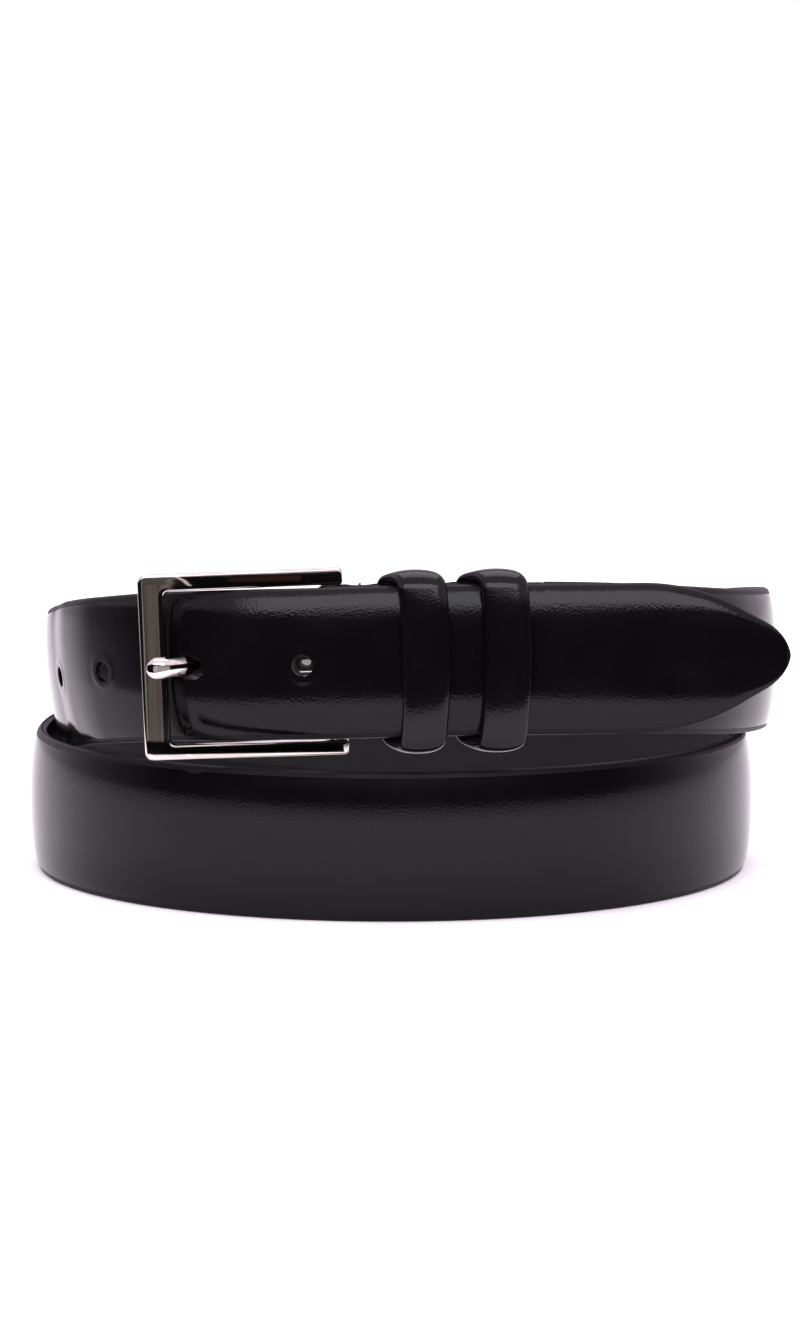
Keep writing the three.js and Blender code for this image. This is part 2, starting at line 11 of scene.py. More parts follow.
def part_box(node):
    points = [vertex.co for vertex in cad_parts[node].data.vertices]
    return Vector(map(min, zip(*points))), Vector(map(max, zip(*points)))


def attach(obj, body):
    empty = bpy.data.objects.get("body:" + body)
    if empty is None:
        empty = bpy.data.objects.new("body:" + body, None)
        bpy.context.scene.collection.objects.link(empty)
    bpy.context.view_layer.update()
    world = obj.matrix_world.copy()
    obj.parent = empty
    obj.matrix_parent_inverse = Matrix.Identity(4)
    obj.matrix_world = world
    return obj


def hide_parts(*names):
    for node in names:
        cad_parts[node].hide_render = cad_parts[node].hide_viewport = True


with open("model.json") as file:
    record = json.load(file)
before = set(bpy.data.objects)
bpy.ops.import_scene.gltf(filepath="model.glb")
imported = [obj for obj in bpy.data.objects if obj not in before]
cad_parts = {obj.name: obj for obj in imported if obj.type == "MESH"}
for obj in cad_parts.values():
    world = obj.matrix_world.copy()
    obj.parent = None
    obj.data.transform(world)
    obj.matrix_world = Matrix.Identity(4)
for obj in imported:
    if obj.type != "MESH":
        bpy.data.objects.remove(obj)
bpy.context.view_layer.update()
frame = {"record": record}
print("CAD frame loaded")

mm = 0.001


def linear(hexColour):
    parts = [int(hexColour[i:i + 2], 16) / 255 for i in (1, 3, 5)]
    return [c / 12.92 if c <= 0.04045 else ((c + 0.055) / 1.055) ** 2.4 for c in parts] + [1.0]


# One node with its settings, its input values and its links: feeds is {input: output socket}
def addNode(tree, kind, values=None, feeds=None, **settings):
    made = tree.nodes.new(kind)
    for key, value in settings.items():
        setattr(made, key, value)
    for key, value in (values or {}).items():
        made.inputs[key].default_value = value
    for key, source in (feeds or {}).items():
        tree.links.new(source, made.inputs[key])
    return made


def newMaterial(name, viewColour):
    mat = bpy.data.materials.new(name)
    mat.use_nodes = True
    mat.diffuse_color = linear(viewColour)
    mat.node_tree.nodes.clear()
    return mat, mat.node_tree


# The winding is the same run of the strap as the solid has

strap = {
    "width": 32.0, "thick": 3.8, "faceThick": 1.1, "liningThick": 0.9, "glue": 0.15, "edgeRound": 0.55,
    "tipTaper": 32.0, "tipNose": 10.0, "tipRun": 74.0, "tipLeaves": -8.0, "coilEnd": 654.0,
    "firstHole": 104.2, "holePitch": 25.4, "holes": 5, "holeRadius": 2.3, "usedHole": 1, "slant": 0.55,
    "ovalAcross": 83.3, "ovalDeep": 78.0, "lastQuarterOut": 5.0,
    "domePower": 2.4, "rimLift": 0.11, "shoulder": 0.42,
}
fold = {
    "barRadius": 1.5, "barToHole": 30.8, "layGap": 1.2, "slip": 0.15, "length": 46.0,
    "rowSpacing": 17.1, "firstRow": 6.9,
}
keeper = {
    "width": 9.8, "thick": 2.4, "backThick": 1.4, "lean": 5.3, "clear": 0.9, "front": -0.55, "bow": 0.9,
    "corner": 1.6,
}
half = strap["width"] / 2
edgeThick = strap["faceThick"] + strap["glue"] + strap["liningThick"]


def through(knots):
    xs, ys = np.array(knots, float).T
    slope = np.diff(ys) / np.diff(xs)
    before = np.concatenate([[slope[0]], slope])
    after = np.concatenate([slope, [slope[-1]]])
    both = before + after
    tangent = np.where(before * after <= 0, 0, 2 * before * after / np.where(both == 0, 1, both))

    def value(x):
        x = np.clip(np.asarray(x, float), xs[0], xs[-1])
        i = np.clip(np.searchsorted(xs, x, side="right") - 1, 0, len(xs) - 2)
        h = xs[i + 1] - xs[i]
        t = (x - xs[i]) / h
        return ((1 + 2 * t) * (1 - t) ** 2 * ys[i] + t * (1 - t) ** 2 * h * tangent[i]
                + t * t * (3 - 2 * t) * ys[i + 1] + t * t * (t - 1) * h * tangent[i + 1])

    return value


# Degrees round the coil from the front centre against how far the face stands out from the base oval, in mm
standOff = through([
    (-8, 0), (15, 0), (32, 1.4), (50, 0.6), (60, -1.3), (69, -3.4), (90, -4.6), (180, -4.8),
    (270, 0), (450, 0), (540, 0), (600, 3.4), (630, 5), (654, 5)])
lowerEdge = through([
    (-60, 39.7), (-30, 39.3), (-8, 39.4), (15, 38.4), (32, 37), (50, 34), (60, 32), (69, 29.9),
    (90, 25.6), (130, 16.4), (170, 8.8), (210, 2.8), (250, 0.2), (266, 0), (446, 0), (462, 0.6), (500, 4.4),
    (530, 8.8), (570, 18.3), (615, 29.6), (654, 34.4)])
lean = through([(-60, 0), (20, 0), (64, 7), (90, 6), (160, 0), (654, 0)])


def seat(degrees):
    a = np.radians(degrees)
    out = standOff(degrees)
    return np.stack([-np.sin(a) * (strap["ovalAcross"] + out), -np.cos(a) * (strap["ovalDeep"] + out),
                     lowerEdge(degrees) + half], axis=-1)


def unit(v):
    return v / np.linalg.norm(v, axis=-1, keepdims=True)


def smooth(x, lo, hi):
    t = np.clip((x - lo) / (hi - lo), 0, 1)
    return t * t * (3 - 2 * t)


# Length along, direction along, outwards and up the strap, at each of a row of places
def track(places, leans=None, ups=None):
    steps = np.linalg.norm(np.diff(places, axis=0), axis=1)
    s = np.concatenate([[0], np.cumsum(steps)])
    along = unit(np.gradient(places, axis=0, edge_order=1))
    up = np.tile([0.0, 0, 1], (len(places), 1)) if ups is None else ups
    up = unit(up - along * np.sum(up * along, axis=1, keepdims=True))
    out = -np.cross(along, up)
    if leans is not None:
        a = -np.radians(leans)[:, None]
        up, out = (up * np.cos(a) + np.cross(along, up) * np.sin(a),
                   out * np.cos(a) + np.cross(along, out) * np.sin(a))
    return {"s": s, "p": places, "along": along, "out": out, "up": up}


def at(line, s):
    s = np.asarray(s, float)
    found = {k: np.stack([np.interp(s, line["s"], line[k][:, i]) for i in range(3)], axis=-1)
             for k in ("p", "along", "out", "up")}
    for k in ("along", "out", "up"):
        found[k] = unit(found[k])
    found["s"] = s
    return found


leave = seat(strap["tipLeaves"])
leaveWay = unit(leave - seat(strap["tipLeaves"] + 1))
runs = np.arange(strap["tipRun"], 0.5, -1)
tipPlaces = leave + leaveWay * runs[:, None]
tipPlaces[:, 2] = lowerEdge(strap["tipLeaves"] - runs * 0.6) + half
turns = np.arange(strap["tipLeaves"], strap["coilEnd"] + 0.01, 1)
winding = track(np.concatenate([tipPlaces, seat(turns)]), np.concatenate([runs * 0, lean(turns)]))

# The solid's own box gives where this run stands in the frame; on the right the last quarter widens it
faceLow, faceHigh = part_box("strap_face")
shift = np.array([(faceLow[0] + faceHigh[0]) / 2 / mm, faceHigh[1] / mm - strap["ovalDeep"], 0])
shift[0] -= strap["lastQuarterOut"] / 2


def warp(s, depth, height):
    q = at(winding, s)
    depth, height = np.asarray(depth, float), np.asarray(height, float)
    return q["p"] - q["out"] * depth[..., None] + q["up"] * height[..., None]


holeAt = strap["firstHole"] + strap["usedHole"] * strap["holePitch"]
pivotAt = holeAt - fold["barToHole"]
foldFront = strap["thick"] + fold["layGap"]
foldRadius = fold["barRadius"] + fold["slip"] + strap["faceThick"]
stapleRadius = 0.25
pocket = 4 * fold["slip"] + 1.06 * keeper["backThick"] + 2 * stapleRadius
print("winding laid out,", round(float(winding["s"][-1])), "mm to the last quarter")


# Meshes from rings of points, and cutting one with others

def newObject(name, verts, faces, uvs=None, zones=None, materials=(), sharp=40):
    mesh = bpy.data.meshes.new(name)
    mesh.from_pydata((np.asarray(verts) * mm).tolist(), [], faces)
    mesh.update()
    obj = bpy.data.objects.new(name, mesh)
    bpy.context.collection.objects.link(obj)
    for mat in materials:
        mesh.materials.append(mat)
    if uvs is not None:
        layer = mesh.uv_layers.new(name="leather")
        vertexOf = np.empty(len(mesh.loops), int)
        mesh.loops.foreach_get("vertex_index", vertexOf)
        layer.data.foreach_set("uv", np.asarray(uvs, float)[vertexOf].ravel())
    if zones is not None:
        mesh.polygons.foreach_set("material_index", zones)
    finishMesh(obj, sharp)
    return obj


def finishMesh(obj, sharp=40):
    mesh = obj.data
    bm = bmesh.new()
    bm.from_mesh(mesh)
    bmesh.ops.recalc_face_normals(bm, faces=bm.faces)
    bm.to_mesh(mesh)
    bm.free()
    mesh.polygons.foreach_set("use_smooth", [True] * len(mesh.polygons))
    if sharp:
        mesh.set_sharp_from_angle(angle=math.radians(sharp))
    mesh.update()


# A closed skin through rings of points (rings, points, 3), capped at both ends unless it is an endless loop
def loft(rings, endless=False):
    count, n = rings.shape[:2]
    verts = rings.reshape(-1, 3)
    i = np.arange(count if endless else count - 1)[:, None]
    j = np.arange(n)[None, :]
    k = (i + 1) % count
    quads = np.stack([i * n + j, i * n + (j + 1) % n, k * n + (j + 1) % n, k * n + j], axis=-1)
    faces = quads.reshape(-1, 4).tolist()
    if not endless:
        faces += [list(range(n))[::-1], list(range((count - 1) * n, count * n))]
    return verts, faces


def carve(obj, cutters):
    tool = bpy.data.objects.new("cutter", bpy.data.meshes.new("cutter"))
    bpy.context.collection.objects.link(tool)
    bm = bmesh.new()
    for verts, faces in cutters:
        made = [bm.verts.new(v * mm) for v in verts]
        for f in faces:
            bm.faces.new([made[i] for i in f])
    bmesh.ops.recalc_face_normals(bm, faces=bm.faces)
    bm.to_mesh(tool.data)
    bm.free()
    cut = obj.modifiers.new("cut", "BOOLEAN")
    cut.operation, cut.object, cut.solver = "DIFFERENCE", tool, "EXACT"
    deps = bpy.context.evaluated_depsgraph_get()
    mesh = bpy.data.meshes.new_from_object(obj.evaluated_get(deps))
    old = obj.data
    obj.modifiers.clear()
    obj.data = mesh
    bpy.data.meshes.remove(old)
    bpy.data.objects.remove(tool)
    finishMesh(obj)


def cylinder(a, b, radius, sides=40):
    way = unit(b - a)
    side = unit(np.cross(way, [0.3, 0.9, 0.2]))
    other = np.cross(way, side)
    turn = np.linspace(0, 2 * np.pi, sides, endpoint=False)[:, None]
    ring = side * np.cos(turn) * radius + other * np.sin(turn) * radius
    return loft(np.stack([a + ring, b + ring]))


# Corrected-grain calf, dyed black and glazed with a hot roller: near-black, a tight pebble grain that only
# shows where light grazes it, and a clear polished top over it
def glazedLeather(name, colour="#070608", grainDepth=0.024, specular=0.33):
    mat, tree = newMaterial(name, colour)
    uv = addNode(tree, "ShaderNodeUVMap", uv_map="leather")
    # One unit of this map is 10 mm, so scale 21 makes pebbles 0.5 mm across, the grain of a calf skin
    pebbles = addNode(tree, "ShaderNodeTexVoronoi", {"Scale": 21.0, "Randomness": 1.0, "Smoothness": 0.6},
                      {"Vector": uv.outputs["UV"]}, feature="SMOOTH_F1")
    # Pores, 0.25 mm apart
    pores = addNode(tree, "ShaderNodeTexNoise", {"Scale": 40.0, "Detail": 3.0, "Roughness": 0.6},
                    {"Vector": uv.outputs["UV"]})
    # Slow swell of the hide, 15 mm across, and the faint pull lines of a strap that has been bent
    swell = addNode(tree, "ShaderNodeTexNoise", {"Scale": 0.7, "Detail": 2.0, "Roughness": 0.5},
                    {"Vector": uv.outputs["UV"]})
    tint = addNode(tree, "ShaderNodeValToRGB", feeds={"Fac": swell.outputs["Fac"]})
    tint.color_ramp.elements[0].color = linear(colour)
    tint.color_ramp.elements[0].position = 0.35
    tint.color_ramp.elements[1].color = linear("#0a080a")
    tint.color_ramp.elements[1].position = 0.75
    gloss = addNode(tree, "ShaderNodeMapRange",
                    {"From Min": 0.3, "From Max": 0.7, "To Min": 0.1, "To Max": 0.135},
                    {"Value": swell.outputs["Fac"]})
    grain = addNode(tree, "ShaderNodeBump", {"Strength": 0.55, "Distance": grainDepth * mm},
                    {"Height": pebbles.outputs["Distance"]})
    fine = addNode(tree, "ShaderNodeBump", {"Strength": 0.35, "Distance": 0.008 * mm},
                   {"Height": pores.outputs["Fac"], "Normal": grain.outputs["Normal"]})
    body = addNode(tree, "ShaderNodeBsdfPrincipled",
                   {"IOR": 1.34, "Specular IOR Level": specular},
                   {"Base Color": tint.outputs["Color"], "Roughness": gloss.outputs["Result"],
                    "Normal": fine.outputs["Normal"]})
    addNode(tree, "ShaderNodeOutputMaterial", feeds={"Surface": body.outputs["BSDF"]})
    return mat


# Cut edge, sanded and painted with several coats of acrylic edge paint: smooth and rounded, with a soft sheen
def paintedEdge():
    mat, tree = newMaterial("acrylicEdgePaint", "#0a090a")
    uv = addNode(tree, "ShaderNodeUVMap", uv_map="leather")
    runs = addNode(tree, "ShaderNodeTexNoise", {"Scale": 3.0, "Detail": 2.0}, {"Vector": uv.outputs["UV"]})
    bump = addNode(tree, "ShaderNodeBump", {"Strength": 0.3, "Distance": 0.05 * mm},
                   {"Height": runs.outputs["Fac"]})
    gloss = addNode(tree, "ShaderNodeMapRange", {"To Min": 0.4, "To Max": 0.55},
                    {"Value": runs.outputs["Fac"]})
    body = addNode(tree, "ShaderNodeBsdfPrincipled",
                   {"Base Color": linear("#0c0a0c"), "IOR": 1.4, "Specular IOR Level": 0.2},
                   {"Roughness": gloss.outputs["Result"], "Normal": bump.outputs["Normal"]})
    addNode(tree, "ShaderNodeOutputMaterial", feeds={"Surface": body.outputs["BSDF"]})
    return mat


# Lining split, dyed through and plated smooth: flat, soft-sheened charcoal with a fine open grain
def liningLeather():
    mat, tree = newMaterial("platedLiningLeather", "#161316")
    uv = addNode(tree, "ShaderNodeUVMap", uv_map="leather")
    fibre = addNode(tree, "ShaderNodeTexNoise", {"Scale": 24.0, "Detail": 5.0, "Roughness": 0.7},
                    {"Vector": uv.outputs["UV"]})
    cloud = addNode(tree, "ShaderNodeTexNoise", {"Scale": 0.9, "Detail": 3.0}, {"Vector": uv.outputs["UV"]})
    ramp = addNode(tree, "ShaderNodeValToRGB", feeds={"Fac": cloud.outputs["Fac"]})
    ramp.color_ramp.elements[0].color = linear("#0c0a0c")
    ramp.color_ramp.elements[1].color = linear("#121012")
    bump = addNode(tree, "ShaderNodeBump", {"Strength": 0.6, "Distance": 0.06 * mm},
                   {"Height": fibre.outputs["Fac"]})
    body = addNode(tree, "ShaderNodeBsdfPrincipled",
                   {"Roughness": 0.6, "IOR": 1.45, "Specular IOR Level": 0.3,
                    "Sheen Weight": 0.03, "Sheen Roughness": 0.5},
                   {"Base Color": ramp.outputs["Color"], "Normal": bump.outputs["Normal"]})
    addNode(tree, "ShaderNodeOutputMaterial", feeds={"Surface": body.outputs["BSDF"]})
    return mat


# Bonded leather fibreboard dyed black, the padding strip: matt and fibrous
def fibreBoard():
    mat, tree = newMaterial("bondedFibreboard", "#1b1714")
    place = addNode(tree, "ShaderNodeTexCoord")
    fibre = addNode(tree, "ShaderNodeTexNoise", {"Scale": 900.0, "Detail": 4.0},
                    {"Vector": place.outputs["Object"]})
    ramp = addNode(tree, "ShaderNodeValToRGB", feeds={"Fac": fibre.outputs["Fac"]})
    ramp.color_ramp.elements[0].color = linear("#120f0e")
    ramp.color_ramp.elements[1].color = linear("#221d19")
    bump = addNode(tree, "ShaderNodeBump", {"Strength": 0.5, "Distance": 0.1 * mm},
                   {"Height": fibre.outputs["Fac"]})
    body = addNode(tree, "ShaderNodeBsdfPrincipled", {"Roughness": 0.9},
                   {"Base Color": ramp.outputs["Color"], "Normal": bump.outputs["Normal"]})
    addNode(tree, "ShaderNodeOutputMaterial", feeds={"Surface": body.outputs["BSDF"]})
    return mat


# Zinc casting, polished and nickel plated: a bright, slightly warm mirror, faintly wavy from hand polishing
def nickelPlate(name, roughness, colour, lengthwise=False, worn="#9d9490"):
    mat, tree = newMaterial(name, colour)
    place = addNode(tree, "ShaderNodeTexCoord")
    # Polishing waves about 4 mm long
    waves = addNode(tree, "ShaderNodeTexNoise", {"Scale": 240.0, "Detail": 1.0},
                    {"Vector": place.outputs["Object"]})
    # Buffing lines 0.2 mm apart, along the arms or up the outer bar
    stretch = addNode(tree, "ShaderNodeMapping",
                      {"Scale": (120.0, 5000.0, 5000.0) if lengthwise else (5000.0, 5000.0, 120.0)},
                      {"Vector": place.outputs["Object"]})
    lines = addNode(tree, "ShaderNodeTexNoise", {"Scale": 1.0, "Detail": 2.0},
                    {"Vector": stretch.outputs["Vector"]})
    # Broader wipe marks, 1 mm apart, where the plating is a little darker
    broad = addNode(tree, "ShaderNodeMapping",
                    {"Scale": (16.0, 700.0, 700.0) if lengthwise else (1100.0, 1100.0, 16.0)},
                    {"Vector": place.outputs["Object"]})
    wipes = addNode(tree, "ShaderNodeTexNoise", {"Scale": 1.0, "Detail": 3.0},
                    {"Vector": broad.outputs["Vector"]})
    tone = addNode(tree, "ShaderNodeValToRGB", feeds={"Fac": wipes.outputs["Fac"]})
    tone.color_ramp.elements[0].position = 0.35
    tone.color_ramp.elements[0].color = linear(worn)
    tone.color_ramp.elements[1].position = 0.62
    tone.color_ramp.elements[1].color = linear(colour)
    rough = addNode(tree, "ShaderNodeMapRange", {"To Min": roughness * 0.7, "To Max": roughness * 1.5},
                    {"Value": lines.outputs["Fac"]})
    bump = addNode(tree, "ShaderNodeBump", {"Strength": 0.35, "Distance": 0.02 * mm},
                   {"Height": waves.outputs["Fac"]})
    body = addNode(tree, "ShaderNodeBsdfPrincipled", {"Metallic": 1.0},
                   {"Base Color": tone.outputs["Color"], "Roughness": rough.outputs["Result"],
                    "Normal": bump.outputs["Normal"]})
    addNode(tree, "ShaderNodeOutputMaterial", feeds={"Surface": body.outputs["BSDF"]})
    return mat


# Waxed polyester sewing thread, three plies twisted: matt black with a slanting lay
def waxedThread():
    mat, tree = newMaterial("waxedPolyesterThread", "#151216")
    place = addNode(tree, "ShaderNodeTexCoord")
    # Ply lay 0.5 mm apart
    lay = addNode(tree, "ShaderNodeTexWave", {"Scale": 320.0, "Distortion": 1.0},
                  {"Vector": place.outputs["Object"]}, bands_direction="DIAGONAL")
    bump = addNode(tree, "ShaderNodeBump", {"Strength": 0.8, "Distance": 0.06 * mm},
                   {"Height": lay.outputs["Fac"]})
    body = addNode(tree, "ShaderNodeBsdfPrincipled",
                   {"Base Color": linear("#1a161a"), "Roughness": 0.6, "Sheen Weight": 0.1},
                   {"Normal": bump.outputs["Normal"]})
    addNode(tree, "ShaderNodeOutputMaterial", feeds={"Surface": body.outputs["BSDF"]})
    return mat


faceLeather = glazedLeather("glazedCalfLeather")
keeperLeather = glazedLeather("glazedCalfKeeper", grainDepth=0.022, specular=0.42)
edgePaint = paintedEdge()
lining = liningLeather()
board = fibreBoard()
nickel = nickelPlate("polishedNickelPlate", 0.08, "#cfc8c4")
nickelArms = nickelPlate("polishedNickelArms", 0.07, "#cfc8c4", lengthwise=True)
prongNickel = nickelPlate("polishedNickelProng", 0.07, "#e2dcd8", lengthwise=True, worn="#cfc8c4")
stapleSteel = nickelPlate("drawnSteelWire", 0.25, "#a9a7a2", worn="#8f8c87")
thread = waxedThread()
print("materials mixed")


# The strap's path, from the tip round both turns, through the fold and back to the turned end

holeSpots = [strap["firstHole"] + i * strap["holePitch"] for i in range(strap["holes"])]
windLength = float(winding["s"][-1])
tipSteps = np.array([0.05, 0.2, 0.45, 0.8, 1.3, 1.9, 2.7, 3.7, 4.9,
                     6.2, 7.6, 9.2, 11, 13, 15, 17.2, 19.4, 21.8])
bodySteps = np.arange(24, windLength - 0.8, 1.6)
nearHoles = np.concatenate([np.arange(h - 6, h + 6.01, 0.4) for h in holeSpots])
far = np.min(np.abs(bodySteps[:, None] - np.array(holeSpots)[None, :]), axis=1) > 6.3
sBody = np.sort(np.concatenate([tipSteps, bodySteps[far], nearHoles, [windLength]]))
onWinding = at(winding, sBody)

joinAt = pivotAt - fold["length"] + 3
fromPlace = at(winding, windLength)
joinPlace = at(winding, joinAt)
joinEnd = warp(joinAt, foldFront, 0)
handle = 0.38 * np.linalg.norm(fromPlace["p"] - joinEnd)
t = np.linspace(0, 1, 41)[1:-1, None]
pullOut = fromPlace["p"] + fromPlace["along"] * handle
pullIn = joinEnd - joinPlace["along"] * handle
approach = ((1 - t) ** 3 * fromPlace["p"] + 3 * t * (1 - t) ** 2 * pullOut
            + 3 * t * t * (1 - t) * pullIn + t ** 3 * joinEnd)
approachFlat = np.maximum(0, t[:, 0] - 0.4) / 0.6


def turnedDepth(q):
    halfSpacing = fold["rowSpacing"] / 2
    nearest = np.abs((q - fold["firstRow"]) % fold["rowSpacing"] - halfSpacing)
    over = 1 - smooth(nearest, keeper["width"] / 2 + 0.3, halfSpacing - 0.7)
    over = np.where(q > fold["firstRow"] + 2 * fold["rowSpacing"], 0, over)
    closed = fold["slip"] + (pocket - fold["slip"]) * over
    opened = 2 * (fold["barRadius"] + fold["slip"])
    byBar = 1 - smooth(q, 0.5, fold["firstRow"] - 0.8)
    return foldFront + 2 * strap["faceThick"] + closed + (opened - closed) * byBar


sFront = np.linspace(joinAt, pivotAt, 32)
frontRun = warp(sFront, foldFront, 0)
a = np.linspace(0, np.pi, 26)[1:-1]
pivotSeat = at(winding, pivotAt)
arcRun = warp(np.full(24, pivotAt), foldFront + foldRadius * (1 - np.cos(a)), 0)
arcRun = arcRun + pivotSeat["along"] * (foldRadius * np.sin(a))[:, None]
q = np.linspace(0, fold["length"], 110)
turnedRun = warp(pivotAt - q, turnedDepth(q), 0)
foldRun = np.concatenate([frontRun, arcRun, turnedRun])
foldUps = np.concatenate([at(winding, sFront)["up"], np.tile(pivotSeat["up"], (24, 1)),
                          at(winding, pivotAt - q)["up"]])
places = np.concatenate([onWinding["p"], approach, foldRun])
approachUps = np.tile([0.0, 0, 1], (len(approach), 1))
ups = np.concatenate([onWinding["up"], approachUps, foldUps])
whole = track(places, ups=ups)
wound = len(sBody)
for key in ("along", "out", "up"):
    whole[key][:wound] = onWinding[key]
whole["s"][:wound] = sBody
whole["s"][wound:] += sBody[-1] - whole["s"][wound] + 1.6
flat = np.concatenate([np.zeros(wound), approachFlat, np.ones(len(foldRun))])
laminated = wound + len(approach) - 1


def widthAt(s):
    t = np.minimum(1, s / strap["tipTaper"])
    fullness = 0.56 + 0.19 * smooth(s, 0, strap["tipNose"])
    return half * np.maximum(0.02, (1 - (1 - t) ** 2) ** fullness)


# How far the face has sunk below the strap's crown; share is -1 at the lower edge and 1 at the upper
def sink(s, share, flatness):
    rise = strap["thick"] - edgeThick
    tip = 1 - smooth(s, -6, 26)
    dome = np.abs(share) ** strap["domePower"] * (1 - flatness)
    down = rise * (tip + (1 - tip) * dome)
    return down


def place(line, across, depth):
    sideways = line["up"][:, None] * across[..., None]
    return line["p"][:, None] + sideways - line["out"][:, None] * depth[..., None]


def section(line, rows):
    return {k: v[rows] for k, v in line.items()}


# Places across the strap from -1 to 1, closer together on its rounded edges
edgeShares = np.concatenate([np.linspace(0, 0.04, 6), [0.06, 0.09], np.linspace(0.12, 0.88, 47),
                             [0.91, 0.94], np.linspace(0.96, 1, 6)]) * 2 - 1


# Both leathers share this: a strip whose four long edges are rounded, from its outer and inner depths
def strip(line, w, outer, inner, roundOuter, roundInner, shares):
    x = shares[None, :] * w[:, None]
    near = np.maximum(0, np.abs(x) - np.maximum(w[:, None] - roundOuter, 0))
    r = np.minimum(roundOuter, w[:, None])
    outerDepth = outer + r - np.sqrt(np.maximum(r * r - np.minimum(near, r) ** 2, 0))
    backShares = shares[::6][::-1]
    xb = backShares[None, :] * w[:, None]
    innerDepth = np.stack([np.interp(backShares, shares, row) for row in inner]) if inner.ndim == 2 else inner
    nearB = np.maximum(0, np.abs(xb) - np.maximum(w[:, None] - roundInner, 0))
    rb = np.minimum(roundInner, w[:, None])
    innerDepth = innerDepth - (rb - np.sqrt(np.maximum(rb * rb - np.minimum(nearB, rb) ** 2, 0)))
    across = np.concatenate([x, xb], axis=1)
    depth = np.concatenate([outerDepth, innerDepth], axis=1)
    return place(line, across, depth), across


def punch(s, radius, extra=0.6):
    q = at(winding, s)
    a, b = q["p"] + q["out"] * extra, q["p"] - q["out"] * (strap["thick"] + extra)
    return cylinder(a, b, radius, 48)


holeTools = []
for i, s in enumerate(holeSpots):
    if i == strap["usedHole"]:
        # pulled long by the prong: a slanting slot with round ends
        q = at(winding, s)
        slotWay = unit(q["out"] + q["along"] * strap["slant"])
        ring = []
        for side, by in ((1, 1.0), (-1, -1.9)):
            for ang in np.linspace(-np.pi / 2, np.pi / 2, 20):
                ring.append((by + side * 2.53 * np.cos(ang), side * 2.53 * np.sin(ang)))
        ring = np.array(ring)
        middle = q["p"] - q["out"] * strap["thick"] / 2 + q["along"] * ring[:, :1] + q["up"] * ring[:, 1:]
        reachOut = (strap["thick"] / 2 + 0.8) * math.hypot(1, strap["slant"])
        holeTools.append(loft(np.stack([middle + slotWay * reachOut, middle - slotWay * reachOut])))
    else:
        holeTools.append(punch(s, strap["holeRadius"]))

stitch = {"holes": 8, "radius": 0.26, "inset": 2.2}
rowsAt = [pivotAt - fold["firstRow"] - i * fold["rowSpacing"] for i in range(3)]
rowBack = foldFront + 2 * strap["faceThick"] + fold["slip"]
stitchHeights = np.linspace(-half + stitch["inset"], half - stitch["inset"], stitch["holes"])
foldTools = []
for s in rowsAt:
    for h in stitchHeights:
        foldTools.append(cylinder(warp(s, foldFront - 0.5, h), warp(s, rowBack + 1, h),
                                  stitch["radius"] + 0.14, 12))
slotHalf = 3.0
slotS = np.linspace(pivotAt - 4.6, pivotAt + foldRadius + 1, 4)
slotNear = foldFront - 0.55
slotFar = foldFront + 2 * foldRadius + 1
slotCorners = ((slotNear, -slotHalf), (slotNear, slotHalf), (slotFar, slotHalf), (slotFar, -slotHalf))
foldTools.append(loft(np.stack([np.stack([warp(s, d, h) for d, h in slotCorners]) for s in slotS])))

# Face leather, from the tip to the turned end
w = widthAt(whole["s"])
outer = sink(whole["s"][:, None], edgeShares[None, :], flat[:, None])
# the burnished shoulders fall away a little faster than the dome
shoulder = np.maximum(0, np.abs(edgeShares) - 0.8) / 0.2
outer = outer + strap["shoulder"] * shoulder[None, :] ** 2 * (1 - 0.6 * flat[:, None])
for i, s in enumerate(holeSpots):
    # the punch leaves a low ring round each hole; the prong has pressed the used one flat
    reach = np.hypot(np.maximum(0, np.abs(whole["s"][:, None] - s - (0.6 if i == strap["usedHole"] else 0))
                                - (1.4 if i == strap["usedHole"] else 0)),
                     edgeShares[None, :] * w[:, None])
    lift = strap["rimLift"] * (0.25 if i == strap["usedHole"] else 1) * np.exp(-((reach - 3.2) / 0.8) ** 2)
    lift[wound:] = 0
    outer = outer - lift
inner = sink(whole["s"][:, None], edgeShares[None, :], flat[:, None]) + strap["faceThick"]
rings, across = strip(whole, w, outer, inner, strap["edgeRound"], 0.12, edgeShares)
rings = rings + shift
verts, faces = loft(rings)
n = rings.shape[1]
uvs = np.stack([np.broadcast_to(whole["s"][:, None], across.shape), across], axis=-1).reshape(-1, 2) / 10
column = np.arange(n)
isFace = (column >= 5) & (column < len(edgeShares) - 6)
zones = np.where(isFace[None, :], 0, 1) * np.ones((len(rings) - 1, 1), int)
zones[:, len(edgeShares):n - 1] = 2
tipEdge = whole["s"][:-1] < 0.6
zones[tipEdge] = 1
zones = zones.reshape(-1).tolist() + [1, 1]
face = newObject("strapFace", verts, faces, uvs, zones, (faceLeather, edgePaint, lining), sharp=0)
shifted = [(v + shift, f) for v, f in holeTools + foldTools]
carve(face, shifted)

